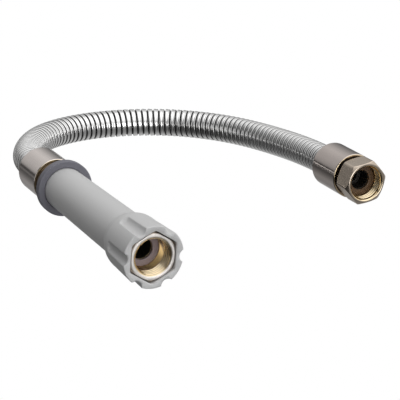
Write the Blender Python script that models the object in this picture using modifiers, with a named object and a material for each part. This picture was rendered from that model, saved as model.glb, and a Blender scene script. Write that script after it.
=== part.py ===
"""Flexible armoured water hose, 20 in long, with a spinning hand grip on its outlet end.

The hose lies on a table in a U. Its outlet end carries a plastic grip around a brass pipe, and its
supply end a loose hex nut; both ends take a 3/4 in hose thread. The supply fitting points along
-Y, and the grip's fitting lies 1.4 degrees off it.
A place along a fitting is a station: millimetres behind the front face of that fitting.
"""

import math

import bmesh
import bpy
import numpy as np
from mathutils import Matrix

MM = 0.001
GAP = 0.3                      # clearance kept between touching pieces

# Lay of the object on the table. The origin is under the middle of the two fittings' box.
HEAD_RADIUS = 15.5             # of the grip's head, which rests on the table
FERRULE_RADIUS = 12.5
GRIP_FRONT = (-72.93, -76.76, HEAD_RADIUS)
GRIP_YAW_DEG = 1.4             # its rear end lies this much further towards -X
SUPPLY_FRONT = (78.4, -13.16, 12.8)
OUTLET_FERRULE_FRONT = 128.2
FERRULE_LENGTH = 25.4

# Thread and hex shared by both nuts: 3/4-14 thread, 7/8 in hexagon.
THREAD_BORE_RADIUS = 9.0       # mean of crest and root
THREAD_MOUTH_RADIUS = 9.76
NUT_FLATS = 22.2
NECK_RADIUS = 6.5              # brass pipe and stems behind the nuts
NECK_HOLE_RADIUS = NECK_RADIUS + GAP
WATERWAY_RADIUS = 5.5

# Grip, stations from the front face of its head.
HEAD_REAR_RADIUS = 14.65
TUBE_FRONT_RADIUS = 11.95
TUBE_REAR_RADIUS = 11.3
HEAD_STEP_FRONT = 22.0
HEAD_STEP_REAR = 33.0
GRIP_REAR = 117.5
GRIP_BORE_RADIUS = 10.2
SOCKET_DEPTH = 20.3
SOCKET_WALL = 2.3              # web behind the socket
SOCKET_FLATS = NUT_FLATS + 2 * GAP
GROOVE_RADIUS = 3.3
GROOVE_CENTRE_RADIUS = 16.5
GROOVE_LENGTH = 22.5
RING_RADIUS = 15.15
RING_FRONT = 113.8
RING_REAR = 119.3
COUPLING_CORNER_DEG = 24.9     # a hex corner's angle from +X, seen from the front
SUPPLY_CORNER_DEG = 9.0

# Coupling nut and what it holds, stations on the grip's axis.
COUPLING_FRONT = 0.6
COUPLING_REAR = 19.7
COUPLING_WASHER = (13.5, 15.3)
PIPE_FRONT = 15.6
PIPE_COLLAR = 2.0
PIPE_REAR = 118.2
PIPE_NUT = (111.0, 126.5)
PIPE_NUT_FLATS = 17.46
PIPE_NUT_RADIUS = 9.9
PIPE_WASHER = (118.5, 119.7)
BUSH = (94.0, 100.0)
OUTLET_STEM_FRONT = 120.0

# Supply nut and what it holds, stations on the supply axis.
SUPPLY_NUT_REAR = 12.0
SUPPLY_WASHER = (6.9, 8.3)
SUPPLY_STEM_FRONT = 8.6
SUPPLY_COLLAR = 1.6
SUPPLY_FERRULE_FRONT = 14.2

# Ferrules and hose ends, behind each ferrule's front face.
FERRULE_WALL = 3.3
FERRULE_BORE_RADIUS = 8.75
STEM_SHOULDER = 3.0
STEM_TAIL = 18.8
CRIMP = (3.8, 10.6)
ARMOUR_END = 11.4
LINER_END = 3.6

# The hose: steel armour over a braided liner.
ARMOUR_RADIUS = 8.4
ARMOUR_BORE_RADIUS = 7.1
BRAID_RADIUS = 6.8
BRAID_BORE_RADIUS = 6.3
LINER_RADIUS = 6.0
LINER_BORE_RADIUS = 4.9
BARB_RADIUS = 4.2
BARB_BORE_RADIUS = 3.4
HOSE_STATIONS = 36             # points along each hose tube

# The hose's lie between the two ferrules, chosen by hand: x, y, z in millimetres.
HOSE_ROUTE = (
    (-76.0, 95.5, 14.4),
    (-71.2, 114.5, 12.4),
    (-63.2, 133.1, 10.8),
    (-51.4, 150.1, 9.7),
    (-34.9, 162.8, 8.9),
    (-15.3, 168.7, 8.6),
    (4.6, 168.1, 8.5),
    (23.4, 162.4, 8.5),
    (40.1, 152.5, 8.5),
    (54.1, 138.8, 8.5),
    (64.5, 121.8, 8.8),
    (71.2, 103.0, 9.4),
    (75.0, 84.5, 10.3),
    (77.2, 66.5, 11.3),
    (78.2, 46.8, 12.3),
)

SIDES = 32                     # round outer pieces
INNER_SIDES = 24               # round hidden pieces
MERGE = 0.00001


def clear_scene():
    """Remove whatever the start-up file holds."""
    for item in list(bpy.data.objects):
        bpy.data.objects.remove(item)


def new_collection(name):
    collection = bpy.data.collections.new(name)
    bpy.context.scene.collection.children.link(collection)
    return collection


def material(name, colour, roughness, metallic):
    """A Principled BSDF of one colour."""
    made = bpy.data.materials.new(name)
    made.use_nodes = True
    shader = made.node_tree.nodes["Principled BSDF"]
    shader.inputs["Base Color"].default_value = (*colour, 1.0)
    shader.inputs["Roughness"].default_value = roughness
    shader.inputs["Metallic"].default_value = metallic
    return made


def fitting_axis(name, x, y, z, yaw_deg):
    """An empty at a fitting's front face whose +Z looks out of the fitting, along -Y before its yaw."""
    empty = bpy.data.objects.new(name, None)
    parts.objects.link(empty)
    empty.location = (x * MM, y * MM, z * MM)
    empty.rotation_euler = (math.radians(90), 0, math.radians(yaw_deg))
    return empty


def add(name, mesh, finish, axis):
    """A named piece with its material, on a fitting's axis."""
    piece = bpy.data.objects.new(name, mesh)
    parts.objects.link(piece)
    piece.parent = axis
    if finish is not None:
        mesh.materials.append(finish)
    return piece


def outline_mesh(name, outline, closed):
    """The edges of a profile given as (station, radius), in the XZ plane with the front on top."""
    points = [(radius * MM, 0.0, -station * MM) for station, radius in outline]
    edges = [(i, i + 1) for i in range(len(points) - 1)]
    if closed:
        edges.append((len(points) - 1, 0))
    mesh = bpy.data.meshes.new(name)
    mesh.from_pydata(points, edges, [])
    return mesh


def turn(piece, sides):
    """Spin a piece's profile once round the fitting's axis."""
    screw = piece.modifiers.new("turn", "SCREW")
    screw.axis = "Z"
    screw.angle = math.radians(360)
    screw.steps = sides
    screw.render_steps = sides
    screw.use_merge_vertices = True
    screw.merge_threshold = MERGE
    screw.use_smooth_shade = True


def turned(name, outline, finish, axis, sides=SIDES):
    """A turned ring: its outline runs down the outside, front to rear, and back up the bore."""
    piece = add(name, outline_mesh(name, outline, closed=True), finish, axis)
    turn(piece, sides)
    return piece


def make_cutter(piece):
    """Keep a shape out of the model: it only shapes other pieces."""
    parts.objects.unlink(piece)
    cutters.objects.link(piece)
    piece.hide_render = True
    piece.display_type = "WIRE"
    return piece


def shape_by(piece, cutter, operation):
    """Shape a piece with a cutter: DIFFERENCE takes it away, INTERSECT keeps what lies inside it."""
    boolean = piece.modifiers.new(operation.lower(), "BOOLEAN")
    boolean.operation = operation
    boolean.solver = "EXACT"
    boolean.object = cutter


def hex_cutter(name, flats, front, rear, corner_deg, axis):
    """A hexagonal prism across two stations, one corner at the given angle from +X."""
    mesh = bpy.data.meshes.new(name)
    shape = bmesh.new()
    bmesh.ops.create_cone(
        shape,
        cap_ends=True,
        segments=6,
        radius1=flats / math.sqrt(3) * MM,
        radius2=flats / math.sqrt(3) * MM,
        depth=(rear - front) * MM,
        matrix=Matrix.Translation((0, 0, -(front + rear) / 2 * MM)),
    )
    # A new cone has a corner at 90 degrees, which is one at 30 degrees too.
    turn_by = Matrix.Rotation(math.radians(corner_deg - 30), 3, "Z")
    bmesh.ops.rotate(shape, verts=shape.verts, cent=(0, 0, 0), matrix=turn_by)
    shape.to_mesh(mesh)
    shape.free()
    return make_cutter(add(name, mesh, None, axis))


def hex_nut(name, outline, flats, corner_deg, finish, axis):
    """A nut: a turned blank, with its chamfers and bore, kept inside a hexagonal prism."""
    nut = turned(name, outline, finish, axis)
    stations = [station for station, _ in outline]
    prism = hex_cutter(name + "_flats", flats, min(stations) - 1, max(stations) + 1, corner_deg, axis)
    shape_by(nut, prism, "INTERSECT")
    return nut


def ring_outline(front, rear, outer, inner):
    """A plain washer's or sleeve's outline."""
    return [(front, outer), (rear, outer), (rear, inner), (front, inner)]


def groove_cutter(axis):
    """Six round-ended rods set round the head, in line with the hexagon's flats."""
    bullet = [(-1.0, 0.0), (-1.0, GROOVE_RADIUS)]
    for step in range(5):
        angle = math.radians(90 * step / 4)
        reach = GROOVE_LENGTH - GROOVE_RADIUS + GROOVE_RADIUS * math.sin(angle)
        bullet.append((reach, GROOVE_RADIUS * math.cos(angle)))
    rod = add("groove_rod", outline_mesh("groove_rod", bullet, closed=False), None, axis)
    turn(rod, 12)
    bpy.context.view_layer.update()
    single = bpy.data.meshes.new_from_object(rod.evaluated_get(bpy.context.evaluated_depsgraph_get()))
    bpy.data.objects.remove(rod)
    around = bmesh.new()
    for index in range(6):
        rod_shape = bmesh.new()
        rod_shape.from_mesh(single)
        bmesh.ops.remove_doubles(rod_shape, verts=rod_shape.verts, dist=MERGE)
        angle = math.radians(COUPLING_CORNER_DEG + 30 + 60 * index)
        place = Matrix.Rotation(angle, 4, "Z") @ Matrix.Translation((GROOVE_CENTRE_RADIUS * MM, 0, 0))
        rod_shape.transform(place)
        copy = bpy.data.meshes.new("groove_rod_copy")
        rod_shape.to_mesh(copy)
        rod_shape.free()
        around.from_mesh(copy)
    mesh = bpy.data.meshes.new("head_grooves")
    around.to_mesh(mesh)
    around.free()
    return make_cutter(add("head_grooves", mesh, None, axis))


def head_step():
    """The S-shaped slope from the head down to the tube, as (station, radius) points."""
    points = []
    for step in range(6):
        share = step / 5
        fall = (1 - math.cos(math.pi * share**1.25)) / 2
        station = HEAD_STEP_FRONT + share * (HEAD_STEP_REAR - HEAD_STEP_FRONT)
        points.append((station, HEAD_REAR_RADIUS + fall * (TUBE_FRONT_RADIUS - HEAD_REAR_RADIUS)))
    return points


def make_grip(axis):
    """The plastic grip, its rubber ring and the bush it turns on."""
    web_rear = SOCKET_DEPTH + SOCKET_WALL
    outline = [(0.0, HEAD_RADIUS - 0.8), (0.8, HEAD_RADIUS)]
    outline += head_step()
    outline += [
        (GRIP_REAR, TUBE_REAR_RADIUS),
        (GRIP_REAR, GRIP_BORE_RADIUS),
        (web_rear, GRIP_BORE_RADIUS),
        (web_rear, NECK_HOLE_RADIUS),
        (0.0, NECK_HOLE_RADIUS),
    ]
    sleeve = turned("grip_sleeve", outline, grey_plastic, axis)
    socket = hex_cutter("socket", SOCKET_FLATS, -1.0, SOCKET_DEPTH, COUPLING_CORNER_DEG, axis)
    shape_by(sleeve, socket, "DIFFERENCE")
    shape_by(sleeve, groove_cutter(axis), "DIFFERENCE")

    ring_inside = TUBE_REAR_RADIUS + GAP
    lip_front = GRIP_REAR + GAP
    ring = [
        (RING_FRONT, RING_RADIUS - 0.7),
        (RING_FRONT + 0.7, RING_RADIUS),
        (RING_REAR - 1.4, RING_RADIUS),
        (RING_REAR, RING_RADIUS - 1.4),
        (RING_REAR, GRIP_BORE_RADIUS),
        (lip_front, GRIP_BORE_RADIUS),
        (lip_front, ring_inside),
        (RING_FRONT, ring_inside),
    ]
    turned("grip_ring", ring, ring_rubber, axis)
    bush = ring_outline(*BUSH, GRIP_BORE_RADIUS - GAP, NECK_HOLE_RADIUS)
    turned("grip_bush", bush, white_nylon, axis, INNER_SIDES)


def make_coupling(axis):
    """The hex coupling nut in the grip's socket, its washer and the pipe whose collar it pulls on."""
    pocket_rear = PIPE_FRONT + PIPE_COLLAR + GAP
    nut = [
        (COUPLING_FRONT, 11.0),
        (COUPLING_FRONT + 0.8, 12.5),
        (COUPLING_REAR - 0.8, 12.5),
        (COUPLING_REAR, 11.6),
        (COUPLING_REAR, NECK_HOLE_RADIUS),
        (pocket_rear, NECK_HOLE_RADIUS),
        (pocket_rear, THREAD_BORE_RADIUS),
        (COUPLING_FRONT + 0.7, THREAD_BORE_RADIUS),
        (COUPLING_FRONT, THREAD_MOUTH_RADIUS),
    ]
    hex_nut("coupling_nut", nut, NUT_FLATS, COUPLING_CORNER_DEG, nickel, axis)
    washer = ring_outline(*COUPLING_WASHER, THREAD_BORE_RADIUS - GAP, WATERWAY_RADIUS)
    turned("coupling_washer", washer, washer_rubber, axis, INNER_SIDES)
    pipe = [
        (PIPE_FRONT, THREAD_BORE_RADIUS - GAP),
        (PIPE_FRONT + PIPE_COLLAR, THREAD_BORE_RADIUS - GAP),
        (PIPE_FRONT + PIPE_COLLAR, NECK_RADIUS),
        (PIPE_REAR, NECK_RADIUS),
        (PIPE_REAR, WATERWAY_RADIUS),
        (PIPE_FRONT, WATERWAY_RADIUS),
    ]
    turned("handle_pipe", pipe, brass, axis, INNER_SIDES)


def make_pipe_joint(axis):
    """The hex nut that joins the grip's pipe to the hose stem, and the washer between them."""
    front, rear = PIPE_NUT
    nut = [
        (front, PIPE_NUT_RADIUS - 0.6),
        (front + 0.6, PIPE_NUT_RADIUS),
        (rear - 0.6, PIPE_NUT_RADIUS),
        (rear, PIPE_NUT_RADIUS - 0.6),
        (rear, NECK_HOLE_RADIUS),
        (front, NECK_HOLE_RADIUS),
    ]
    hex_nut("pipe_nut", nut, PIPE_NUT_FLATS, COUPLING_CORNER_DEG, brass, axis)
    washer = ring_outline(*PIPE_WASHER, NECK_RADIUS - 0.2, WATERWAY_RADIUS - 0.5)
    turned("pipe_washer", washer, washer_rubber, axis, INNER_SIDES)


def stem_outline(front, ferrule_front, collar):
    """A hose stem: neck, shoulder and barbed tail. A collar is its radius and its length."""
    shoulder = ferrule_front + STEM_SHOULDER
    tail = ferrule_front + STEM_TAIL
    outline = []
    if collar is not None:
        radius, length = collar
        outline += [(front, radius), (front + length, radius), (front + length, NECK_RADIUS)]
    else:
        outline.append((front, NECK_RADIUS))
    outline.append((shoulder, NECK_RADIUS))
    barbs = 4
    pitch = (tail - shoulder) / barbs
    for index in range(barbs):
        start = shoulder + index * pitch
        outline += [(start, BARB_RADIUS - 0.5), (start + 0.2 * pitch, BARB_RADIUS)]
    outline += [
        (tail, BARB_RADIUS - 0.6),
        (tail, BARB_BORE_RADIUS),
        (shoulder - 1.0, BARB_BORE_RADIUS),
        (shoulder - 1.0, WATERWAY_RADIUS - 0.2),
        (front, WATERWAY_RADIUS - 0.2),
    ]
    return outline


def make_hose_end(name, front, ferrule_front, collar, axis):
    """One end of the hose: its ferrule, the barbed stem and the crimped sleeve round the liner."""
    rear = ferrule_front + FERRULE_LENGTH
    wall_rear = ferrule_front + FERRULE_WALL
    ferrule = [
        (ferrule_front, FERRULE_RADIUS - 0.5),
        (ferrule_front + 0.5, FERRULE_RADIUS),
        (rear - 0.9, FERRULE_RADIUS),
        (rear - 0.25, FERRULE_RADIUS - 0.3),
        (rear, FERRULE_RADIUS - 0.9),
        (rear, FERRULE_BORE_RADIUS),
        (wall_rear, FERRULE_BORE_RADIUS),
        (wall_rear, NECK_HOLE_RADIUS),
        (ferrule_front, NECK_HOLE_RADIUS),
    ]
    turned(name + "_ferrule", ferrule, nickel, axis)
    turned(name + "_stem", stem_outline(front, ferrule_front, collar), brass, axis, INNER_SIDES)
    sleeve_front, sleeve_rear = (ferrule_front + offset for offset in CRIMP)
    sleeve = ring_outline(sleeve_front, sleeve_rear, FERRULE_BORE_RADIUS - GAP, BRAID_RADIUS + GAP)
    turned(name + "_crimp", sleeve, brass, axis, INNER_SIDES)


def make_supply_nut(axis):
    """The loose hex nut of the supply end and its washer."""
    pocket_rear = SUPPLY_STEM_FRONT + SUPPLY_COLLAR + GAP
    nut = [
        (0.0, 10.8),
        (1.0, 12.7),
        (SUPPLY_NUT_REAR - 1.1, 12.7),
        (SUPPLY_NUT_REAR, 11.3),
        (SUPPLY_NUT_REAR, NECK_HOLE_RADIUS),
        (pocket_rear, NECK_HOLE_RADIUS),
        (pocket_rear, THREAD_BORE_RADIUS),
        (0.7, THREAD_BORE_RADIUS),
        (0.0, THREAD_MOUTH_RADIUS),
    ]
    hex_nut("supply_nut", nut, NUT_FLATS, SUPPLY_CORNER_DEG, nickel, axis)
    washer = ring_outline(*SUPPLY_WASHER, THREAD_BORE_RADIUS - GAP, WATERWAY_RADIUS)
    turned("supply_washer", washer, washer_rubber, axis, INNER_SIDES)


def smooth_curve(points, first, last, per_span=24):
    """A cubic spline through the points, leaving along first and arriving along last."""
    points = np.array(points, float)
    spans = np.linalg.norm(np.diff(points, axis=0), axis=1)
    count = len(points)
    system = np.zeros((count, count))
    target = np.zeros((count, 3))
    system[0, 0] = system[-1, -1] = 1.0
    target[0] = first
    target[-1] = last
    for i in range(1, count - 1):
        before, after = spans[i - 1], spans[i]
        system[i, i - 1 : i + 2] = (1 / before, 2 / before + 2 / after, 1 / after)
        rise = (points[i] - points[i - 1]) / before**2 + (points[i + 1] - points[i]) / after**2
        target[i] = 3 * rise
    slopes = np.linalg.solve(system, target)
    share = np.linspace(0, 1, per_span, endpoint=False)[:, None]
    curve = []
    for i, span in enumerate(spans):
        start = (2 * share**3 - 3 * share**2 + 1) * points[i]
        leave = (share**3 - 2 * share**2 + share) * span * slopes[i]
        end = (3 * share**2 - 2 * share**3) * points[i + 1]
        arrive = (share**3 - share**2) * span * slopes[i + 1]
        curve.append(start + leave + end + arrive)
    curve.append(points[-1:])
    return np.concatenate(curve)


def evenly(curve, count):
    """The same curve as count points at equal distances."""
    steps = np.linalg.norm(np.diff(curve, axis=0), axis=1)
    along = np.concatenate([[0.0], np.cumsum(steps)])
    places = np.linspace(0.0, along[-1], count)
    return np.stack([np.interp(places, along, curve[:, k]) for k in range(3)], axis=1)


def on_axis(front, yaw_deg, station):
    """The point on a fitting's axis at a station."""
    yaw = math.radians(yaw_deg)
    return (front[0] - station * math.sin(yaw), front[1] + station * math.cos(yaw), front[2])


def hose_line():
    """The hose's centreline from one ferrule's mouth to the other, equally spaced."""
    start = on_axis(GRIP_FRONT, GRIP_YAW_DEG, OUTLET_FERRULE_FRONT + FERRULE_LENGTH)
    end = on_axis(SUPPLY_FRONT, 0, SUPPLY_FERRULE_FRONT + FERRULE_LENGTH)
    leaving = on_axis((0, 0, 0), GRIP_YAW_DEG, 1)
    curve = smooth_curve((start, *HOSE_ROUTE, end), leaving, (0, -1, 0))
    return evenly(curve, HOSE_STATIONS)


def round_bar(name, line, inset, radius, resolution):
    """A closed round bar along the hose, its ends set in behind the ferrules' front faces."""
    start = on_axis(GRIP_FRONT, GRIP_YAW_DEG, OUTLET_FERRULE_FRONT + inset)
    end = on_axis(SUPPLY_FRONT, 0, SUPPLY_FERRULE_FRONT + inset)
    points = [start, *line, end]
    curve = bpy.data.curves.new(name, "CURVE")
    curve.dimensions = "3D"
    curve.bevel_depth = radius * MM
    curve.bevel_resolution = resolution
    curve.use_fill_caps = True
    curve.twist_mode = "MINIMUM"
    spline = curve.splines.new("POLY")
    spline.points.add(len(points) - 1)
    for target, point in zip(spline.points, points):
        target.co = (*(float(value) * MM for value in point), 1.0)
    drawn = bpy.data.objects.new(name, curve)
    parts.objects.link(drawn)
    bpy.context.view_layer.update()
    mesh = bpy.data.meshes.new_from_object(drawn.evaluated_get(bpy.context.evaluated_depsgraph_get()))
    bpy.data.objects.remove(drawn)
    welded = bmesh.new()
    welded.from_mesh(mesh)
    bmesh.ops.remove_doubles(welded, verts=welded.verts, dist=MERGE)
    welded.to_mesh(mesh)
    welded.free()
    mesh.shade_smooth()
    mesh.set_sharp_from_angle(angle=math.radians(50))
    bar = bpy.data.objects.new(name, mesh)
    parts.objects.link(bar)
    return bar


def hose_layer(name, line, inset, outer, inner, resolution, finish):
    """One tube of the hose: a round bar with a thinner and longer bar taken out of it."""
    layer = round_bar(name, line, inset, outer, resolution)
    layer.data.materials.append(finish)
    core = make_cutter(round_bar(name + "_core", line, inset - 2.0, inner, 2))
    shape_by(layer, core, "DIFFERENCE")


def make_hose():
    """The steel armour, and inside it the braid over the liner that carries the water."""
    line = hose_line()
    hose_layer("hose_armour", line, ARMOUR_END, ARMOUR_RADIUS, ARMOUR_BORE_RADIUS, 4, stainless)
    hose_layer("liner_braid", line, LINER_END, BRAID_RADIUS, BRAID_BORE_RADIUS, 2, braid_yarn)
    hose_layer("hose_liner", line, LINER_END, LINER_RADIUS, LINER_BORE_RADIUS, 2, liner_plastic)


clear_scene()
parts = new_collection("armoured_hose")
cutters = new_collection("cutters")

nickel = material("nickel_plate", (0.46, 0.43, 0.41), 0.28, 1.0)
brass = material("brass", (0.72, 0.55, 0.30), 0.25, 1.0)
stainless = material("stainless_strip", (0.62, 0.62, 0.62), 0.22, 1.0)
grey_plastic = material("grip_plastic", (0.50, 0.50, 0.50), 0.45, 0.0)
ring_rubber = material("ring_rubber", (0.25, 0.25, 0.29), 0.55, 0.0)
white_nylon = material("bush_nylon", (0.80, 0.79, 0.75), 0.50, 0.0)
washer_rubber = material("washer_rubber", (0.10, 0.09, 0.09), 0.60, 0.0)
braid_yarn = material("braid_yarn", (0.70, 0.70, 0.66), 0.80, 0.0)
liner_plastic = material("liner_plastic", (0.16, 0.17, 0.18), 0.45, 0.0)

grip_axis = fitting_axis("grip_axis", *GRIP_FRONT, GRIP_YAW_DEG)
supply_axis = fitting_axis("supply_axis", *SUPPLY_FRONT, 0)

make_grip(grip_axis)
make_coupling(grip_axis)
make_pipe_joint(grip_axis)
make_hose_end("outlet", OUTLET_STEM_FRONT, OUTLET_FERRULE_FRONT, None, grip_axis)
make_hose()
supply_collar = (THREAD_BORE_RADIUS - GAP, SUPPLY_COLLAR)
make_hose_end("supply", SUPPLY_STEM_FRONT, SUPPLY_FERRULE_FRONT, supply_collar, supply_axis)
make_supply_nut(supply_axis)
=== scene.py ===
"""The looks of a 20 in armoured water hose with a spinning hand grip.

Every round piece is worked out as rings of points round a fitting's axis. A station is a distance
behind a fitting's front face. The supply fitting points along -Y, and the grip's lies 1.4 degrees
off it. Lengths are in millimetres until a mesh is made.
"""

import math

import bpy
import numpy as np
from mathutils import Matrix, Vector


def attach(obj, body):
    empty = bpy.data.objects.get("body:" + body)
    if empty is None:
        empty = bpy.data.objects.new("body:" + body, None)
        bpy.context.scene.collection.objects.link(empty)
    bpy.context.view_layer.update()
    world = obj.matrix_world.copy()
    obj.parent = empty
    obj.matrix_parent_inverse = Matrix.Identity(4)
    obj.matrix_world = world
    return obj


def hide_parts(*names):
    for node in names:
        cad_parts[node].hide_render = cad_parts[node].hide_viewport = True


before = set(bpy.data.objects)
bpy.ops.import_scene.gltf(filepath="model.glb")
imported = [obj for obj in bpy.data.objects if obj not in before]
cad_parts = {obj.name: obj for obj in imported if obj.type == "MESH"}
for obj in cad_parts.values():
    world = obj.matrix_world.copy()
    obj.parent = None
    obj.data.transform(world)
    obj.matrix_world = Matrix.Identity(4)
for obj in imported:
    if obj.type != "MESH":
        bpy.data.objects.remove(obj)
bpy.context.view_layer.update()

MM = 0.001
TURN = 2 * math.pi

# Stations and radii, as in the CAD model except where a comment says so.
NUT_FLATS = 22.2
COUPLING_FLATS = 22.1          # this and the next are drawn a little apart, for the gap to show
SOCKET_FLATS = 23.1
NECK_RADIUS = 6.5
NECK_HOLE_RADIUS = 6.8
WATERWAY_RADIUS = 5.5
COLLAR_RADIUS = 8.7            # of the two collars and the washers in front of them
THREAD_BORE_RADIUS = 9.0
THREAD_MOUTH_RADIUS = 9.76
THREAD_SWING = 0.42            # of the wave between crest and root
THREAD_PITCH = 25.4 / 14
COUPLING_CORNER_DEG = 24.9
SUPPLY_CORNER_DEG = 9.0

HEAD_RADIUS = 15.5
HEAD_REAR_RADIUS = 14.65
TUBE_FRONT_RADIUS = 11.95
TUBE_REAR_RADIUS = 11.3
GRIP_BORE_RADIUS = 10.2
HEAD_STEP_FRONT = 22.0
HEAD_STEP_REAR = 33.0
GRIP_REAR = 117.5
SOCKET_DEPTH = 20.3
SOCKET_WEB_REAR = 22.6
GROOVE_RADIUS = 3.3
GROOVE_CENTRE_RADIUS = 16.5
GROOVE_LENGTH = 21.5            # 1 mm shorter than in the CAD model
GROOVE_BLUNT = 1.6             # of it, where the groove's round end rises
RING_RADIUS = 15.15
RING_STATIONS = (113.8, 119.3)

COUPLING_STATIONS = (0.6, 19.7)
COUPLING_WASHER = (13.5, 15.3)
PIPE_STATIONS = (15.6, 118.2)
PIPE_COLLAR = 2.0
PIPE_NUT = (111.0, 126.5)
PIPE_NUT_FLATS = 17.46
OUTLET_STEM_FRONT = 120.0
OUTLET_FERRULE_FRONT = 128.2
SUPPLY_NUT_REAR = 12.0
SUPPLY_WASHER = (6.9, 8.3)
SUPPLY_STEM_FRONT = 8.6
SUPPLY_COLLAR = 1.6
SUPPLY_FERRULE_FRONT = 14.2
FERRULE_RADIUS = 12.5
FERRULE_BORE_RADIUS = 8.75
FERRULE_LENGTH = 25.4
STEM_SHOULDER = 3.0            # behind the ferrule's front, as the next three are
STEM_TAIL = 18.8
ARMOUR_END = 11.4

ARMOUR_RADIUS = 8.4
ARMOUR_BORE_RADIUS = 7.1
STRIP_PITCH = 3.67

# The hose's lie between the two ferrules: x, y, z in millimetres.
HOSE_ROUTE = (
    (-76.0, 95.5, 14.4),
    (-71.2, 114.5, 12.4),
    (-63.2, 133.1, 10.8),
    (-51.4, 150.1, 9.7),
    (-34.9, 162.8, 8.9),
    (-15.3, 168.7, 8.6),
    (4.6, 168.1, 8.5),
    (23.4, 162.4, 8.5),
    (40.1, 152.5, 8.5),
    (54.1, 138.8, 8.5),
    (64.5, 121.8, 8.8),
    (71.2, 103.0, 9.4),
    (75.0, 84.5, 10.3),
    (77.2, 66.5, 11.3),
    (78.2, 46.8, 12.3),
)


class Fitting:
    """An axis from a front face's centre, level, and turned from +Y towards -X by its yaw."""

    def __init__(self, front, yaw_deg):
        yaw = math.radians(yaw_deg)
        self.front = np.array(front)
        self.rearward = np.array((-math.sin(yaw), math.cos(yaw), 0.0))
        self.across = np.array((math.cos(yaw), math.sin(yaw), 0.0))
        self.up = np.array((0.0, 0.0, 1.0))

    def point(self, station, radius=0.0, angle=0.0):
        """Points at stations, radii and angles, the angle taken from across towards up."""
        station, radius, angle = (np.asarray(value, float)[..., None] for value in (station, radius, angle))
        ring = radius * (np.cos(angle) * self.across + np.sin(angle) * self.up)
        return self.front + station * self.rearward + ring


GRIP = Fitting((-72.93, -76.76, HEAD_RADIUS), 1.4)
SUPPLY = Fitting((78.4, -13.16, 12.8), 0.0)


# ---------------------------------------------------------------- materials


class Term:
    """A node's output socket. Adding, subtracting or multiplying it adds Math nodes."""

    def __init__(self, nodes, socket):
        self.nodes = nodes
        self.socket = socket

    def maths(self, operation, first, second):
        return self.nodes.node("ShaderNodeMath", {"operation": operation}, {0: first, 1: second})

    def output(self, index):
        """Another output of the same node."""
        return Term(self.nodes, self.socket.node.outputs[index])

    def __add__(self, other):
        return self.maths("ADD", self, other)

    def __sub__(self, other):
        return self.maths("SUBTRACT", self, other)

    def __mul__(self, other):
        return self.maths("MULTIPLY", self, other)

    def __rsub__(self, other):
        return self.maths("SUBTRACT", other, self)

    __radd__ = __add__
    __rmul__ = __mul__


class Nodes:
    """A node tree that is built by node names."""

    def __init__(self, owner):
        owner.use_nodes = True
        self.tree = owner.node_tree

    def feed(self, node, sockets):
        """Put values into a node's sockets, or link Terms to them."""
        for key, value in sockets.items():
            if isinstance(value, Term):
                self.tree.links.new(value.socket, node.inputs[key])
            else:
                node.inputs[key].default_value = value

    def node(self, kind, settings=None, sockets=None, output=0):
        """Add a node: its settings first and then its sockets."""
        made = self.tree.nodes.new(kind)
        for key, value in (settings or {}).items():
            setattr(made, key, value)
        self.feed(made, sockets or {})
        return Term(self, made.outputs[output])

    def seen_or_cast(self, seen, cast):
        """One shader for what the camera sees, and another for the light that is cast."""
        path = self.node("ShaderNodeLightPath")
        return self.node("ShaderNodeMixShader", sockets={0: path, 1: cast, 2: seen})


class Finish(Nodes):
    """A material with one shader."""

    def __init__(self, name):
        self.material = bpy.data.materials.new(name)
        super().__init__(self.material)
        self.shader = self.tree.nodes["Principled BSDF"]

    def surface(self, **sockets):
        """Set the shader's own sockets; an underscore stands for a space."""
        self.feed(self.shader, {key.replace("_", " "): value for key, value in sockets.items()})
        return self.material

    def place(self, scale=(1, 1, 1)):
        """Object coordinates, stretched by scale."""
        coordinates = self.node("ShaderNodeTexCoord", output=3)
        return self.node("ShaderNodeMapping", sockets={"Vector": coordinates, "Scale": scale})

    def along_strip(self, scale):
        """The strip's own coordinates, stretched by scale."""
        coordinates = self.node("ShaderNodeTexCoord", output=2)
        return self.node("ShaderNodeMapping", sockets={"Vector": coordinates, "Scale": scale})

    def noise(self, place, scale, detail=4.0, roughness=0.5):
        sockets = {"Vector": place, "Scale": scale, "Detail": detail, "Roughness": roughness}
        return self.node("ShaderNodeTexNoise", sockets=sockets)

    def mix(self, share, first, second):
        """A colour between two colours."""
        settings = {"data_type": "RGBA"}
        return self.node("ShaderNodeMix", settings, {0: share, 6: first, 7: second}, output=2)

    def bump(self, height, strength, distance):
        sockets = {"Height": height, "Strength": strength, "Distance": distance}
        return self.node("ShaderNodeBump", sockets=sockets)

    def attribute(self, name):
        return self.node("ShaderNodeAttribute", {"attribute_name": name}, output=2)


def opaque(colour):
    return (*colour, 1.0)


def stainless_strip():
    """Polished strip: bright crowns, painted shade in the grooves, drawn lines along the strip."""
    finish = Finish("stainless_strip")
    lines = finish.noise(finish.along_strip((1.0, 260.0, 1.0)), 3.0, 3.0, 0.6)
    patches = finish.noise(finish.place(), 60.0, 3.0)
    groove = finish.attribute("groove")
    crown = finish.mix(patches, opaque((0.88, 0.88, 0.875)), opaque((0.97, 0.965, 0.96)))
    # The grooves are painted near black, as the shade that falls in them.
    colour = finish.mix(groove, crown, opaque((0.05, 0.05, 0.05)))
    return finish.surface(
        Base_Color=colour,
        Metallic=1.0,
        Roughness=0.14 + lines * 0.08 + groove * 0.25,
        Normal=finish.bump(lines, 0.04, 0.0001),
    )


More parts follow.
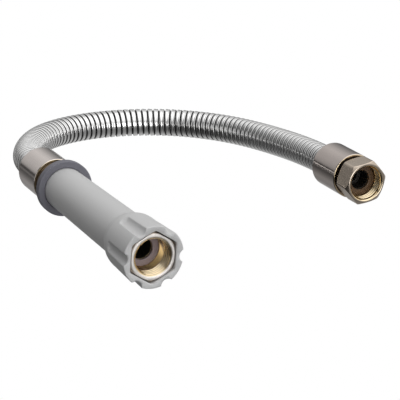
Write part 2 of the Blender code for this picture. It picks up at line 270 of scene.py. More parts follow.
def plated_brass(name, dark, light, polish):
    """Nickel plate between two tones, with the brass bare where the piece says so, and a satin face painted
    near white as light where the piece says so.
    """
    finish = Finish(name)
    lines = finish.noise(finish.place((30.0, 900.0, 30.0)), 2.0, 3.0, 0.6)
    clouds = finish.noise(finish.place(), 90.0, 3.0)
    bare = finish.attribute("bare")
    satin_and_painted_light = finish.attribute("satin_and_painted_light")
    plate = finish.mix(clouds, opaque(dark), opaque(light))
    gold = finish.mix(clouds, opaque((0.80, 0.62, 0.36)), opaque((0.96, 0.84, 0.62)))
    # A marked satin face is painted near white, as light falling on it, and made rougher.
    bright = finish.mix(satin_and_painted_light, finish.mix(bare, plate, gold), opaque((0.97, 0.93, 0.89)))
    return finish.surface(
        Base_Color=bright,
        Metallic=1.0,
        Roughness=polish + lines * 0.05 + satin_and_painted_light * 0.34 - bare * 0.10,
        Normal=finish.bump(lines, 0.02, 0.0001),
    )


def bare_brass():
    """Machined brass with turning lines, painted almost black as shade in bores and gaps."""
    finish = Finish("bare_brass")
    lines = finish.noise(finish.place((30.0, 1400.0, 30.0)), 2.0, 3.0, 0.6)
    tarnish = finish.noise(finish.place(), 140.0, 4.0)
    painted_shade = finish.attribute("painted_shade")
    clean = finish.mix(tarnish, opaque((0.70, 0.52, 0.27)), opaque((0.90, 0.74, 0.46)))
    return finish.surface(
        # Where a piece marks it, the brass is painted almost black and less metallic, as shade.
        Base_Color=finish.mix(painted_shade, clean, opaque((0.020, 0.016, 0.012))),
        Metallic=1.0 - painted_shade,
        Roughness=0.16 + lines * 0.10 + painted_shade * 0.35,
        Normal=finish.bump(lines, 0.04, 0.0001),
    )


def grip_plastic():
    """Satin moulded plastic in light grey, with a fine spark-eroded grain."""
    finish = Finish("grip_plastic")
    grain = finish.noise(finish.place(), 2600.0, 2.0, 0.6)
    flow = finish.noise(finish.place((1.0, 0.3, 1.0)), 35.0, 3.0)
    colour = finish.mix(flow, opaque((0.620, 0.620, 0.620)), opaque((0.660, 0.660, 0.658)))
    return finish.surface(
        Base_Color=colour,
        Roughness=0.40 + grain * 0.12,
        Normal=finish.bump(grain, 0.10, 0.0001),
    )


def ring_rubber():
    """Smooth purple-grey rubber with a dusty bloom."""
    finish = Finish("ring_rubber")
    grain = finish.noise(finish.place(), 1500.0, 3.0, 0.6)
    bloom = finish.noise(finish.place(), 120.0, 4.0)
    colour = finish.mix(bloom, opaque((0.160, 0.158, 0.188)), opaque((0.200, 0.198, 0.230)))
    return finish.surface(
        Base_Color=colour,
        Roughness=0.44 + grain * 0.16,
        Normal=finish.bump(grain, 0.12, 0.0001),
    )


def washer_rubber(name, dark, light):
    """A cut rubber washer, its tone between two greys."""
    finish = Finish(name)
    grain = finish.noise(finish.place(), 900.0, 4.0, 0.6)
    return finish.surface(
        Base_Color=finish.mix(grain, opaque(dark), opaque(light)),
        Roughness=0.22 + grain * 0.20,
        Normal=finish.bump(grain, 0.15, 0.0001),
    )


def nylon():
    """Natural nylon, turned, slightly clouded."""
    finish = Finish("bush_nylon")
    clouds = finish.noise(finish.place(), 200.0, 3.0)
    return finish.surface(
        Base_Color=finish.mix(clouds, opaque((0.74, 0.73, 0.68)), opaque((0.83, 0.82, 0.78))),
        Roughness=0.42 + clouds * 0.10,
    )


def braid_yarn():
    """Pale reinforcing yarn, plaited: two crossed sets of waves."""
    finish = Finish("braid_yarn")
    place = finish.place()
    weft = finish.node("ShaderNodeTexWave", {"bands_direction": "X"}, {"Vector": place, "Scale": 160.0})
    warp = finish.node("ShaderNodeTexWave", {"bands_direction": "Y"}, {"Vector": place, "Scale": 160.0})
    height = weft * warp
    return finish.surface(
        Base_Color=finish.mix(height, opaque((0.42, 0.42, 0.38)), opaque((0.74, 0.74, 0.70))),
        Roughness=0.75 + height * 0.1,
        Normal=finish.bump(height, 0.4, 0.0003),
    )


def liner_plastic():
    """Smooth extruded liner, dark, with faint die lines."""
    finish = Finish("liner_plastic")
    lines = finish.noise(finish.place(), 300.0, 2.0)
    return finish.surface(
        Base_Color=finish.mix(lines, opaque((0.055, 0.058, 0.062)), opaque((0.085, 0.088, 0.094))),
        Roughness=0.35 + lines * 0.12,
    )


# ---------------------------------------------------------------- surfaces


def solid(name, points, faces, finish):
    """A closed mesh from points in millimetres and four-cornered faces, turned to face outwards."""
    points = np.asarray(points, float) * MM
    faces = np.asarray(faces, np.int32)
    first, second, third, fourth = (points[faces[:, k]] for k in range(4))
    middle = (first + second + third + fourth) / 4
    outward = np.cross(third - first, fourth - second)
    if (middle * outward).sum() < 0:
        faces = faces[:, ::-1]
    mesh = bpy.data.meshes.new(name)
    mesh.vertices.add(len(points))
    mesh.vertices.foreach_set("co", points.astype(np.float32).ravel())
    mesh.loops.add(faces.size)
    mesh.loops.foreach_set("vertex_index", faces.ravel())
    mesh.polygons.add(len(faces))
    mesh.polygons.foreach_set("loop_start", np.arange(len(faces), dtype=np.int32) * 4)
    mesh.update(calc_edges=True)
    mesh.validate()
    mesh.shade_smooth()
    mesh.materials.append(finish)
    piece = bpy.data.objects.new(name, mesh)
    bpy.context.scene.collection.objects.link(piece)
    return piece


def quads(index):
    """Faces between neighbours in a grid of point numbers, its last column beside its first."""
    beside = np.roll(index, -1, axis=1)
    return np.stack([index[:-1], beside[:-1], beside[1:], index[1:]], axis=-1).reshape(-1, 4)


def spun(name, place, stations, radii, finish):
    """Rings round a fitting's axis: row i, column j lies at stations[i, j] and radii[i, j].

    Column j stands at j / columns of a turn from +X towards +Z. The rows close on themselves, so
    the outline has to come back to where it started.
    """
    rows, columns = radii.shape
    angle = np.arange(columns) * TURN / columns
    points = place.point(np.broadcast_to(stations, radii.shape), radii, np.broadcast_to(angle, radii.shape))
    index = np.arange(rows * columns).reshape(rows, columns)
    faces = quads(np.vstack([index, index[:1]]))
    return solid(name, points.reshape(-1, 3), faces, finish)


def rounded(outline, reach):
    """An outline with each corner turned into a short curve.

    Round a corner, points lie on the quadratic curve that starts `reach` before it and ends
    `reach` after it, with one more point on each side that keeps the flats flat.
    """
    points = np.array(outline, float)
    made = []
    for i, corner in enumerate(points):
        to_last = points[i - 1] - corner
        to_next = points[(i + 1) % len(points)] - corner
        near_last, near_next = np.linalg.norm(to_last), np.linalg.norm(to_next)
        cut = min(reach, 0.4 * near_last, 0.4 * near_next)
        start = corner + to_last / near_last * cut
        end = corner + to_next / near_next * cut
        made.append(start + (start - corner) * 0.15)
        for share in np.linspace(0, 1, 5):
            made.append((1 - share) ** 2 * start + 2 * share * (1 - share) * corner + share**2 * end)
        made.append(end + (end - corner) * 0.15)
    return np.array(made)


def lathed(name, place, outline, finish, reach=0.25, columns=96):
    """A turned ring from an outline of (station, radius), its corners rounded."""
    profile = rounded(outline, reach)
    radii = np.repeat(profile[:, 1:], columns, axis=1)
    return spun(name, place, profile[:, :1], radii, finish)


def mark(piece, name, values):
    """Store a number on each of a piece's points for its finish to read."""
    values = np.asarray(values, np.float32).ravel()
    piece.data.attributes.new(name, "FLOAT", "POINT").data.foreach_set("value", values)


def polar(piece, place):
    """Each point's station and radius on a fitting's axis."""
    points = np.zeros(len(piece.data.vertices) * 3, np.float32)
    piece.data.vertices.foreach_get("co", points)
    offset = points.reshape(-1, 3) / MM - place.front
    station = offset @ place.rearward
    return station, np.linalg.norm(offset - station[:, None] * place.rearward, axis=1)


def soft_least(first, second, sharpness):
    """The smaller of two values, blended where they cross; a higher sharpness blends less."""
    gap = np.maximum(sharpness - np.abs(first - second), 0) / sharpness
    return np.minimum(first, second) - gap**2 * sharpness / 4


def hexagon(columns, flats, corner_deg, edge):
    """The radius of a hexagon in each column: the least of its six sides, softened at the corners."""
    angle = np.arange(columns) * TURN / columns
    off_flat = (angle - math.radians(corner_deg)) % (TURN / 6) - TURN / 12
    radius = flats / 2 / np.cos(off_flat)
    corner = flats / math.sqrt(3) - edge
    return soft_least(radius, np.full(columns, corner), 2 * edge)


def thread_rows(first, last, columns):
    """Rows of an internal thread: the radius swings between crest and root once a pitch.

    The swing is a flattened wave of station / pitch minus the share of a turn, so that the ridge
    climbs by one pitch a turn, and it fades in and out over half a pitch at the ends.
    """
    count = int((last - first) / THREAD_PITCH * 12)
    station = np.linspace(first, last, count)[:, None]
    share = np.arange(columns)[None, :] / columns
    wave = np.cos(TURN * (station / THREAD_PITCH - share))
    shaped = np.sign(wave) * np.abs(wave) ** 0.7
    fade = np.clip(np.minimum(station - first, last - station) / (0.5 * THREAD_PITCH), 0, 1)
    return np.broadcast_to(station, (count, columns)), THREAD_BORE_RADIUS + THREAD_SWING * shaped * fade


def rows_of(profile, columns):
    """Rings for an outline of (station, radius) points."""
    profile = np.array(profile, float)
    return np.repeat(profile[:, :1], columns, axis=1), np.repeat(profile[:, 1:], columns, axis=1)


def dense(profile, step):
    """An outline with points added until no two are further apart than step."""
    profile = np.array(profile, float)
    made = [profile[:1]]
    for first, last in zip(profile[:-1], profile[1:]):
        count = max(1, math.ceil(np.linalg.norm(last - first) / step))
        share = np.linspace(0, 1, count + 1)[1:, None]
        made.append(first + share * (last - first))
    return np.concatenate(made)


# ---------------------------------------------------------------- nuts


def nut(name, place, outside, thread, bore, sides, finish):
    """A hexagon nut: outside and bore are outlines of (station, radius), thread two stations.

    Sides holds the width across the flats and the angle of a corner.
    Outside, each ring's radius is the lesser of the turned outline's and the hexagon's, so the
    chamfer cuts curved bevels into the six corners.
    """
    columns = 192
    station, radius = rows_of(dense(outside, 0.35), columns)
    radius = soft_least(radius, hexagon(columns, *sides, 0.18)[None, :], 0.12)
    thread_station, thread_radius = thread_rows(*thread, columns)
    bore_station, bore_radius = rows_of(bore, columns)
    # The outline runs down the outside and back up the bore, so the thread is taken backwards.
    stations = np.concatenate([station, bore_station, thread_station[::-1]])
    radii = np.concatenate([radius, bore_radius, thread_radius[::-1]])
    piece = spun(name, place, stations, radii, finish)
    # The plate thins out over half a millimetre at the mouth, and the bore inside it is brass.
    mark(piece, "bare", np.clip((10.3 - polar(piece, place)[1]) / 0.5, 0, 1))
    return piece


def coupling_nut(nickel):
    """The nut in the grip's socket: wide bright chamfer, six turns of thread, smooth relief."""
    front, rear = COUPLING_STATIONS
    outside = [
        (front + 0.55, THREAD_MOUTH_RADIUS - 0.25),
        (front + 0.12, THREAD_MOUTH_RADIUS + 0.1),
        (front, THREAD_MOUTH_RADIUS + 0.4),
        (front, 10.9),
        (front + 0.15, 11.2),
        (front + 1.0, 12.5),
        (rear - 0.8, 12.5),
        (rear, 11.6),
    ]
    bore = [
        (rear, NECK_HOLE_RADIUS),
        (rear - 1.8, NECK_HOLE_RADIUS),
        (rear - 1.8, 9.1),
        (8.6, 9.1),
        (8.4, 9.3),
    ]
    sides = (COUPLING_FLATS, COUPLING_CORNER_DEG)
    piece = nut("coupling_nut_threaded", GRIP, outside, (1.2, 8.3), bore, sides, nickel)
    # The front face is satin and painted near white as light, and the flats behind it are not.
    station, radius = polar(piece, GRIP)
    mark(piece, "satin_and_painted_light", (radius > 9.5) * np.clip((front + 0.5 - station) / 0.3, 0, 1))
    stands_for(piece, "coupling", "coupling_nut")


def supply_nut(nickel):
    """The loose nut of the supply end."""
    front, rear = 0.0, SUPPLY_NUT_REAR
    outside = [
        (front + 0.55, THREAD_MOUTH_RADIUS - 0.25),
        (front + 0.12, THREAD_MOUTH_RADIUS + 0.1),
        (front, THREAD_MOUTH_RADIUS + 0.4),
        (front, 10.7),
        (front + 0.15, 11.0),
        (front + 1.3, 12.7),
        (rear - 1.3, 12.7),
        (rear - 0.3, 11.5),
        (rear, 11.1),
    ]
    bore = [
        (rear, NECK_HOLE_RADIUS),
        (rear - 1.5, NECK_HOLE_RADIUS),
        (rear - 1.5, 9.1),
        (6.7, 9.1),
        (6.5, 9.3),
    ]
    sides = (NUT_FLATS, SUPPLY_CORNER_DEG)
    piece = nut("supply_nut_threaded", SUPPLY, outside, (1.2, 6.4), bore, sides, nickel)
    stands_for(piece, "supply_swivel", "supply_nut")


def pipe_nut(brass):
    """The small brass nut that shows between the bumper ring and the ferrule."""
    front, rear = PIPE_NUT
    columns = 144
    outline = dense([(front, 9.2), (front + 0.7, 9.95), (rear - 0.7, 9.95), (rear, 9.2)], 0.5)
    station, radius = rows_of(outline, columns)
    radius = soft_least(radius, hexagon(columns, PIPE_NUT_FLATS, COUPLING_CORNER_DEG, 0.15)[None, :], 0.1)
    bore_station, bore_radius = rows_of([(rear, NECK_HOLE_RADIUS), (front, NECK_HOLE_RADIUS)], columns)
    stations = np.concatenate([station, bore_station])
    radii = np.concatenate([radius, bore_radius])
    piece = spun("pipe_nut_chamfered", GRIP, stations, radii, brass)
    # The whole nut is painted darker, as the shade of the gap it sits in.
    mark(piece, "painted_shade", np.full(radii.shape, 0.6))
    stands_for(piece, "root", "pipe_nut")


# ---------------------------------------------------------------- grip


def grooved(station, radius, columns):
    """Cut six round-bottomed grooves into rings of the head.

    A groove is a rod along the axis, centred outside the head. Its surface's distance from the
    axis is c cos(d) - sqrt(r^2 - c^2 sin(d)^2) at an angle d from the rod's middle, and in the
    groove's blunt end r shrinks as in a flattened ball.
    """
    angle = np.arange(columns) * TURN / columns
    off = (angle - math.radians(COUPLING_CORNER_DEG)) % (TURN / 6) - TURN / 12
    past = np.clip(station - (GROOVE_LENGTH - GROOVE_BLUNT), 0, GROOVE_BLUNT) / GROOVE_BLUNT
    rod = GROOVE_RADIUS * np.sqrt(1 - past**2)
    inside = rod**2 - (GROOVE_CENTRE_RADIUS * np.sin(off)) ** 2
    centre = GROOVE_CENTRE_RADIUS * np.cos(off)
    # Beside the rod the floor climbs away, so that the head's own radius is the smaller one.
    floor = np.where(inside > 0, centre - np.sqrt(np.maximum(inside, 0)), centre - inside * 0.5)
    return soft_least(radius, floor, 0.4)


def grip_sleeve(plastic):
    """The grip: a tube, an S-shaped step up to the head, grooves, and the nut's socket."""
    columns = 288
    edge = 0.45
    corner = [math.pi / 2 * step / 5 for step in range(6)]
    outer = [
        (edge * (1 - math.sin(turn)), HEAD_RADIUS - edge * (1 - math.cos(turn)))
        for turn in corner[::-1]
    ]
    taper = (HEAD_REAR_RADIUS - HEAD_RADIUS) / HEAD_STEP_FRONT
    outer += [(station, HEAD_RADIUS + station * taper) for station in np.arange(2.0, HEAD_STEP_FRONT, 0.4)]
    for share in np.linspace(0, 1, 28):
        fall = (1 - math.cos(math.pi * share**1.25)) / 2
        station = HEAD_STEP_FRONT + share * (HEAD_STEP_REAR - HEAD_STEP_FRONT)
        outer.append((station, HEAD_REAR_RADIUS + fall * (TUBE_FRONT_RADIUS - HEAD_REAR_RADIUS)))
    for station in np.linspace(HEAD_STEP_REAR + 4, GRIP_REAR - 0.6, 20):
        share = (station - HEAD_STEP_REAR) / (GRIP_REAR - HEAD_STEP_REAR)
        outer.append((station, TUBE_FRONT_RADIUS + share * (TUBE_REAR_RADIUS - TUBE_FRONT_RADIUS)))
    outer += [(GRIP_REAR - 0.15, TUBE_REAR_RADIUS - 0.12), (GRIP_REAR, TUBE_REAR_RADIUS - 0.5)]
    station, radius = rows_of(outer, columns)
    radius = grooved(station, radius, columns)

    # From the rear end the outline comes back up the bore, through the web, and out of the socket.
    inner = [
        (GRIP_REAR, GRIP_BORE_RADIUS),
        (SOCKET_WEB_REAR + 0.3, GRIP_BORE_RADIUS),
        (SOCKET_WEB_REAR, GRIP_BORE_RADIUS - 0.3),
        (SOCKET_WEB_REAR, NECK_HOLE_RADIUS),
        (SOCKET_DEPTH, NECK_HOLE_RADIUS),
    ]
    inner_station, inner_radius = rows_of(inner, columns)
    socket = hexagon(columns, SOCKET_FLATS, COUPLING_CORNER_DEG, 0.3)
    depths = np.array([SOCKET_DEPTH, SOCKET_DEPTH, 12.0, 4.0, 0.5, 0.15, 0.0])
    widen = np.array([-0.6, 0.0, 0.0, 0.0, 0.0, 0.05, 0.2])
    socket_station = np.repeat(depths[:, None], columns, axis=1)
    socket_radius = socket[None, :] + widen[:, None]
    stations = np.concatenate([station, inner_station, socket_station])
    radii = np.concatenate([radius, inner_radius, socket_radius])
    piece = spun("grip_sleeve_moulded", GRIP, stations, radii, plastic)
    stands_for(piece, "grip", "grip_sleeve")


def grip_ring(rubber):
    """The bumper ring: a fat rounded band with a lip over the grip's end."""
    front, rear = RING_STATIONS
    outline = [
        (front, TUBE_REAR_RADIUS + 0.12),
        (front, RING_RADIUS - 0.3),
        (front + 0.3, RING_RADIUS),
        (rear - 1.4, RING_RADIUS),
        (rear, RING_RADIUS - 1.4),
        (rear, GRIP_BORE_RADIUS),
        (rear - 1.5, GRIP_BORE_RADIUS),
        (rear - 1.5, TUBE_REAR_RADIUS + 0.12),
    ]
    piece = lathed("grip_ring_rounded", GRIP, outline, rubber, reach=0.7, columns=144)
    stands_for(piece, "grip", "grip_ring")


# ---------------------------------------------------------------- turned pieces


def ferrule(side, place, front, nickel):
    """A ferrule: a plain turned sleeve, rounded at the hose's end, with a crisp front edge."""
    rear = front + FERRULE_LENGTH
    outline = [
        (front, FERRULE_RADIUS - 0.35),
        (front + 0.35, FERRULE_RADIUS),
        (rear - 1.0, FERRULE_RADIUS),
        (rear, FERRULE_RADIUS - 1.0),
        (rear, FERRULE_BORE_RADIUS),
        (front + 3.3, FERRULE_BORE_RADIUS),
        (front + 3.3, NECK_HOLE_RADIUS),
        (front + 0.5, NECK_HOLE_RADIUS),
        (front + 0.5, FERRULE_RADIUS - 1.6),
        (front, FERRULE_RADIUS - 1.3),
    ]
    piece = lathed(side + "_ferrule_turned", place, outline, nickel, reach=0.35, columns=160)
    # Brass shows on the narrow rim of the front face.
    station, radius = polar(piece, place)
    mark(piece, "bare", (station < front + 0.12) & (radius > FERRULE_RADIUS - 0.6))
    stands_for(piece, "root", side + "_ferrule")


def handle_pipe(brass):
    """The pipe through the grip, with the collar that the coupling nut pulls on."""
    front, rear = PIPE_STATIONS
    outline = [
        (front, COLLAR_RADIUS),
        (front + PIPE_COLLAR, COLLAR_RADIUS),
        (front + PIPE_COLLAR, NECK_RADIUS),
        (rear, NECK_RADIUS),
        (rear, WATERWAY_RADIUS),
        (front, WATERWAY_RADIUS),
    ]
    piece = lathed("handle_pipe_turned", GRIP, outline, brass)
    # The bore is painted dark, as shade.
    mark(piece, "painted_shade", polar(piece, GRIP)[1] < 5.6)
    stands_for(piece, "root", "handle_pipe")


def stem(side, place, front, ferrule_front, collar, brass):
    """A hose stem: neck, shoulder and four barbs, and a collar on the supply one."""
    shoulder = ferrule_front + STEM_SHOULDER
    tail = ferrule_front + STEM_TAIL
    outline = [(front, NECK_RADIUS)]
    if collar:
        behind = front + SUPPLY_COLLAR
        outline = [(front, COLLAR_RADIUS), (behind, COLLAR_RADIUS), (behind, NECK_RADIUS)]
    outline.append((shoulder, NECK_RADIUS))
    pitch = (tail - shoulder) / 4
    for index in range(4):
        start = shoulder + index * pitch
        outline += [(start, 3.7), (start + 0.2 * pitch, 4.2)]
    outline += [(tail, 3.7), (tail, 3.4), (shoulder - 1.0, 3.4), (shoulder - 1.0, 5.3), (front, 5.3)]
    piece = lathed(side + "_stem_barbed", place, outline, brass, reach=0.15)
    # The neck, barbs and bore are painted dark, as shade; only the supply collar stays bright.
    mark(piece, "painted_shade", polar(piece, place)[1] < NECK_RADIUS + 0.1)
    stands_for(piece, "root", side + "_stem")


def washer(node, place, stations, body, finish):
    """A flat washer with softened edges."""
    front, rear = stations
    outline = [
        (front, COLLAR_RADIUS),
        (rear, COLLAR_RADIUS),
        (rear, WATERWAY_RADIUS),
        (front, WATERWAY_RADIUS),
    ]
    piece = lathed(node + "_soft", place, outline, finish, reach=0.3)
    stands_for(piece, body, node)


# ---------------------------------------------------------------- hose


def smooth_curve(points, first, last, per_span=24):
    """A cubic spline through the points, leaving along first and arriving along last.

    The slopes at the points are those that keep the curvature unbroken, from one linear system.
    """
    points = np.array(points, float)
    spans = np.linalg.norm(np.diff(points, axis=0), axis=1)
    count = len(points)
    system = np.zeros((count, count))
    target = np.zeros((count, 3))
    system[0, 0] = system[-1, -1] = 1.0
    target[0] = first
    target[-1] = last
    for i in range(1, count - 1):
        before, after = spans[i - 1], spans[i]
        system[i, i - 1 : i + 2] = (1 / before, 2 / before + 2 / after, 1 / after)
        rise = (points[i] - points[i - 1]) / before**2 + (points[i + 1] - points[i]) / after**2
        target[i] = 3 * rise
    slopes = np.linalg.solve(system, target)
    share = np.linspace(0, 1, per_span, endpoint=False)[:, None]
    curve = []
    for i, length in enumerate(spans):
        start = (2 * share**3 - 3 * share**2 + 1) * points[i]
        leave = (share**3 - 2 * share**2 + share) * length * slopes[i]
        end = (3 * share**2 - 2 * share**3) * points[i + 1]
        arrive = (share**3 - share**2) * length * slopes[i + 1]
        curve.append(start + leave + end + arrive)
    curve.append(points[-1:])
    return np.concatenate(curve)


def hose_line():
    """The centreline from inside one ferrule to inside the other, and the distance along it."""
    outlet_mouth = GRIP.point(OUTLET_FERRULE_FRONT + FERRULE_LENGTH)
    supply_mouth = SUPPLY.point(SUPPLY_FERRULE_FRONT + FERRULE_LENGTH)
    curve = smooth_curve((outlet_mouth, *HOSE_ROUTE, supply_mouth), GRIP.rearward, -SUPPLY.rearward)
    first = GRIP.point(OUTLET_FERRULE_FRONT + ARMOUR_END)
    last = SUPPLY.point(SUPPLY_FERRULE_FRONT + ARMOUR_END)
    line = np.concatenate([[first], curve, [last]])
    steps = np.linalg.norm(np.diff(line, axis=0), axis=1)
    return line, np.concatenate([[0.0], np.cumsum(steps)])


def carried(line):
    """Two directions across the line at each point, turning as little as they can along it."""
    along = np.gradient(line, axis=0)
    along /= np.linalg.norm(along, axis=1, keepdims=True)
    across = np.array((0.0, 0.0, 1.0))
    sideways = []
    for direction in along:
        across = across - direction * across.dot(direction)
        across /= np.linalg.norm(across)
        sideways.append(across)
    sideways = np.array(sideways)
    return sideways, np.cross(along, sideways)


# One turn of the strip: share of the pitch, and depth below the armour's outer radius.
STRIP = (
    (0.00, 1.10),
    (0.06, 1.05),
    (0.09, 0.34),
    (0.12, 0.12),
    (0.17, 0.03),
    (0.24, 0.00),
    (0.36, 0.03),
    (0.46, 0.09),
    (0.53, 0.18),
    (0.60, 0.21),
    (0.68, 0.16),
    (0.75, 0.14),
    (0.80, 0.22),
    (0.83, 0.44),
    (0.86, 1.05),
)


class HoseSurface:
    """Rings of points round the hose's centreline, by place along it, angle and radius."""

    def __init__(self):
        self.line, self.along = hose_line()
        self.sideways, self.up = carried(self.line)
        self.length = self.along[-1]

    def read(self, places, values):
        """Values along the line read at any places on it."""
        return np.stack([np.interp(places, self.along, values[:, k]) for k in range(3)], axis=-1)

    def point(self, places, angles, radii):
        """The centre at each place, plus radius times (cos angle, sin angle) across the line."""
        across = np.cos(angles)[..., None] * self.read(places, self.sideways)
        rise = np.sin(angles)[..., None] * self.read(places, self.up)
        return self.read(places, self.line) + radii[..., None] * (across + rise)


def hose_armour(steel):
    """The armour as one wound strip round the hose, closed at both ends and bored through.

    Point m of profile row p lies m / columns turns round the hose and (m / columns + p's share)
    pitches along it. The last row of one turn is the first row of the next, so the surface is one
    helix. A plain bore of rings closes it inside.
    """
    hose = HoseSurface()
    columns = 40
    turns = int((hose.length - 2 * STRIP_PITCH) / STRIP_PITCH)
    pitch = hose.length / (turns + 1)
    last = turns * columns

    step = np.arange(last + columns + 1) / columns
    shares = np.array([share for share, _ in STRIP])
    depths = np.array([depth for _, depth in STRIP])
    places = (step[None, :] + shares[:, None]) * pitch
    angles = np.broadcast_to(step[None, :] * TURN, places.shape)
    radii = np.broadcast_to(ARMOUR_RADIUS - depths[:, None], places.shape)
    # Only the first profile row runs on for a last turn, as the edge that the strip ends against.
    kept = np.ones(places.shape, bool)
    kept[1:, last + 1 :] = False
    number = np.cumsum(kept).reshape(kept.shape) - 1
    outer = hose.point(places, angles, radii)[kept]

    index = number[:, : last + 1]
    after = np.vstack([index[1:], number[0, columns : columns + last + 1]])
    strip = np.stack([index[:, :-1], index[:, 1:], after[:, 1:], after[:, :-1]], axis=-1)

    start_edge = np.concatenate([index[:, 0], number[0, columns:0:-1]])
    end_edge = np.concatenate([index[:, last], number[0, last + columns : last : -1]])
    rings = int(hose.length / 4)
    shape = (rings, len(start_edge))
    bore_places = np.linspace(0.4 * pitch, hose.length - 0.4 * pitch, rings)[:, None]
    bore_angles = -np.arange(shape[1]) / shape[1] * TURN
    bore = hose.point(
        np.broadcast_to(bore_places, shape),
        np.broadcast_to(bore_angles, shape),
        np.full(shape, ARMOUR_BORE_RADIUS),
    )
    bore_index = len(outer) + np.arange(rings * shape[1]).reshape(shape)
    inside = quads(np.vstack([start_edge, bore_index, end_edge]))[:, [0, 3, 2, 1]]

    points = np.concatenate([outer, bore.reshape(-1, 3)])
    faces = np.concatenate([strip.reshape(-1, 4), inside])
    piece = solid("hose_armour_wound", points, faces, steel)
    groove = np.zeros(len(points))
    # Rows deep in the groove carry the painted shade.
    painted_groove_shade = np.clip((depths - 0.24) / 0.16, 0, 1)
    groove[: len(outer)] = np.broadcast_to(painted_groove_shade[:, None], places.shape)[kept]
    mark(piece, "groove", groove)
    strip_uv(piece, angles[kept] / TURN, places[kept] * MM)
    stands_for(piece, "root", "hose_armour")
    tuple(map(float, GRIP.point(OUTLET_FERRULE_FRONT + FERRULE_LENGTH) * MM))


def strip_uv(piece, turned, places):
    """A UV map on the strip's points, which come first: u is the turns made, v the metres along."""
    flat = np.zeros((len(piece.data.vertices), 2), np.float32)
    flat[: len(turned), 0] = turned
    flat[: len(places), 1] = places
    corner_vertices = np.zeros(len(piece.data.loops), np.int32)
    piece.data.loops.foreach_get("vertex_index", corner_vertices)
    layer = piece.data.uv_layers.new(name="strip")
    layer.data.foreach_set("uv", flat[corner_vertices].ravel())


# ---------------------------------------------------------------- putting together


def stands_for(piece, body, node):
    """A finished piece rides on a body in place of a CAD node."""
    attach(piece, body)
    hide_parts(node)


def refinish(node, material):
    """Give a CAD node that stays its own material."""
    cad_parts[node].data.materials.clear()
    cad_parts[node].data.materials.append(material)


# Camera: from the front, 24.4 degrees to the left of the supply fitting's axis.
CAMERA_TURN = math.radians(24.4)
CAMERA_RISE = math.radians(18.62)
CAMERA_DISTANCE = 840.0
CAMERA_TARGET = (0.1, 32.2, 0.3)
CAMERA_LENS = 137.8


def camera():
    """A camera that looks at the target from the given turn, rise and distance."""
    flat = math.cos(CAMERA_RISE)
    back = Vector((-math.sin(CAMERA_TURN) * flat, -math.cos(CAMERA_TURN) * flat, math.sin(CAMERA_RISE)))
    data = bpy.data.cameras.new("camera")
    data.lens = CAMERA_LENS
    data.sensor_width = 36.0
    data.clip_start = 0.01
    seen_from = bpy.data.objects.new("camera", data)
    seen_from.location = (Vector(CAMERA_TARGET) + back * CAMERA_DISTANCE) * MM
    seen_from.rotation_euler = (-back).to_track_quat("-Z", "Y").to_euler()
    bpy.context.scene.collection.objects.link(seen_from)
    bpy.context.scene.camera = seen_from


def softbox(name, place, size, power):
    """A wide area light at a place, turned to the origin."""
    data = bpy.data.lights.new(name, "AREA")
    data.shape = "RECTANGLE"
    data.size, data.size_y = size
    data.energy = power
    light = bpy.data.objects.new(name, data)
    light.location = place
    light.rotation_euler = (-Vector(place)).to_track_quat("-Z", "Y").to_euler()
    bpy.context.scene.collection.objects.link(light)


# Brightness of the studio round the X axis, in degrees from the front up and over to the back.
ROUND_X = (
    (-180, 0.25),
    (-120, 0.50),
    (-79, 0.26),
    (-56, 0.20),
    (-37, 0.20),
    (-20, 0.28),
    (-2, 0.38),
    (14, 0.66),
    (31, 1.00),
    (45, 0.86),
    (60, 1.00),
    (80, 1.12),
    (112, 0.90),
    (139, 0.55),
    (180, 0.30),
)

# Brightness of its back wall round the Y axis, from the right up and over to the left.
BACK_WALL = (
    (-177, 0.05),
    (-173, 0.17),
    (-167, 0.17),
    (-163, 0.07),
    (-155, 0.11),
    (-140, 0.19),
    (-120, 0.30),
    (-90, 0.26),
    (-60, 0.38),
    (-39, 0.62),
    (-15, 0.18),
    (4, 0.16),
    (26, 0.32),
    (44, 0.46),
    (58, 0.60),
    (80, 0.72),
    (100, 0.66),
    (120, 0.58),
    (140, 0.54),
    (160, 0.44),
    (169, 0.32),
    (176, 0.05),
)


def level_round(nodes, turn, stops):
    """The brightness at an angle, read between stops of (degrees, brightness)."""
    ramp = nodes.node("ShaderNodeValToRGB", sockets={0: turn * (1 / TURN) + 0.5})
    elements = ramp.socket.node.color_ramp.elements
    for index, (degrees, level) in enumerate(stops):
        share = degrees / 360 + 0.5
        stop = elements[index] if index < 2 else elements.new(share)
        stop.position = share
        stop.color = (level, level, level, 1.0)
    return ramp


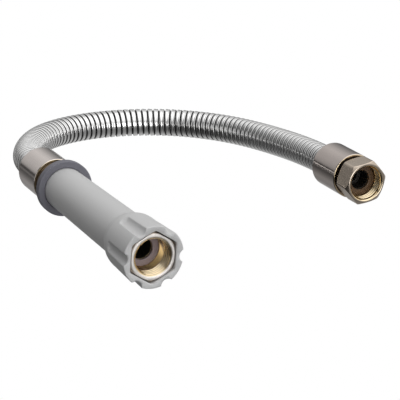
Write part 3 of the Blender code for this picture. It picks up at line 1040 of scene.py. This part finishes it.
def studio():
    """A white floor and sky to the eye, and a soft studio as the light.

    The studio is brightest straight ahead of the two mouths, then overhead, and darkest low down.
    Its back wall has a dark line along the horizon on the left. A direction's x, y and z run from
    -1 to 1, and each wall fades in between two of their values.
    """
    floor_finish = Finish("studio_floor")
    white = floor_finish.node("ShaderNodeEmission", sockets={"Color": (1, 1, 1, 1)})
    clear = floor_finish.node("ShaderNodeBsdfTransparent")
    output = floor_finish.tree.nodes["Material Output"]
    floor_finish.feed(output, {"Surface": floor_finish.seen_or_cast(white, clear)})
    half = 3.0
    corners = [(x * half, y * half, -0.0002) for x, y in ((-1, -1), (1, -1), (1, 1), (-1, 1))]
    mesh = bpy.data.meshes.new("floor")
    mesh.from_pydata(corners, [], [(0, 1, 2, 3)])
    mesh.materials.append(floor_finish.material)
    floor = bpy.data.objects.new("floor", mesh)
    bpy.context.scene.collection.objects.link(floor)

    world = bpy.data.worlds.new("studio")
    nodes = Nodes(world)
    direction = nodes.node("ShaderNodeTexCoord")
    x = nodes.node("ShaderNodeSeparateXYZ", sockets={0: direction})
    y, z = x.output(1), x.output(2)
    over = level_round(nodes, z.maths("ARCTAN2", z, y * -1), ROUND_X)
    wall = level_round(nodes, z.maths("ARCTAN2", z, x), BACK_WALL)
    side = nodes.node("ShaderNodeMapRange", sockets={"Value": x, 1: -0.6, 2: 0.0, 3: 0.12, 4: 1.0})
    behind = nodes.node("ShaderNodeMapRange", sockets={"Value": y, 1: 0.62, 2: 0.76})
    ahead = nodes.node("ShaderNodeMapRange", sockets={"Value": y, 1: -0.95, 2: -0.985, 3: 0.0, 4: 3.4})
    level = over * side * (1 - behind) + wall * behind + ahead
    cast = nodes.node("ShaderNodeBackground", sockets={"Color": level, "Strength": 1.0})
    seen = nodes.node("ShaderNodeBackground", sockets={"Color": (1, 1, 1, 1)})
    nodes.feed(nodes.tree.nodes["World Output"], {"Surface": nodes.seen_or_cast(seen, cast)})
    bpy.context.scene.world = world
    bpy.context.scene.view_settings.view_transform = "Standard"
    softbox("over", (0.1, -0.3, 1.2), (2.4, 1.8), 5.0)
    softbox("left", (-1.4, -0.1, 0.3), (1.2, 1.0), 1.6)


def build():
    hose_armour(stainless_strip())
    nickel = plated_brass("nickel_plate", (0.54, 0.48, 0.45), (0.60, 0.535, 0.50), 0.10)
    nut_plate = plated_brass("nut_plate", (0.52, 0.44, 0.36), (0.62, 0.53, 0.44), 0.20)
    # The outlet ferrule's plate is a lighter copy of the supply ferrule's nickel, painted lighter for the
    # light on it.
    painted_light_plate = plated_brass("painted_light_plate", (0.70, 0.64, 0.61), (0.78, 0.71, 0.67), 0.12)
    brass = bare_brass()
    grip_sleeve(grip_plastic())
    grip_ring(ring_rubber())
    coupling_nut(nut_plate)
    supply_nut(nut_plate)
    pipe_nut(brass)
    handle_pipe(brass)
    ferrule("outlet", GRIP, OUTLET_FERRULE_FRONT, painted_light_plate)
    ferrule("supply", SUPPLY, SUPPLY_FERRULE_FRONT, nickel)
    stem("outlet", GRIP, OUTLET_STEM_FRONT, OUTLET_FERRULE_FRONT, False, brass)
    stem("supply", SUPPLY, SUPPLY_STEM_FRONT, SUPPLY_FERRULE_FRONT, True, brass)
    black = washer_rubber("washer_rubber", (0.020, 0.019, 0.019), (0.050, 0.048, 0.048))
    pink = washer_rubber("coupling_washer", (0.26, 0.20, 0.22), (0.44, 0.37, 0.39))
    brown = washer_rubber("supply_washer", (0.09, 0.05, 0.025), (0.17, 0.10, 0.05))
    washer("coupling_washer", GRIP, COUPLING_WASHER, "coupling", pink)
    washer("supply_washer", SUPPLY, SUPPLY_WASHER, "supply_swivel", brown)
    refinish("pipe_washer", black)
    refinish("grip_bush", nylon())
    refinish("outlet_crimp", brass)
    refinish("supply_crimp", brass)
    refinish("liner_braid", braid_yarn())
    refinish("hose_liner", liner_plastic())


camera()
studio()
build()
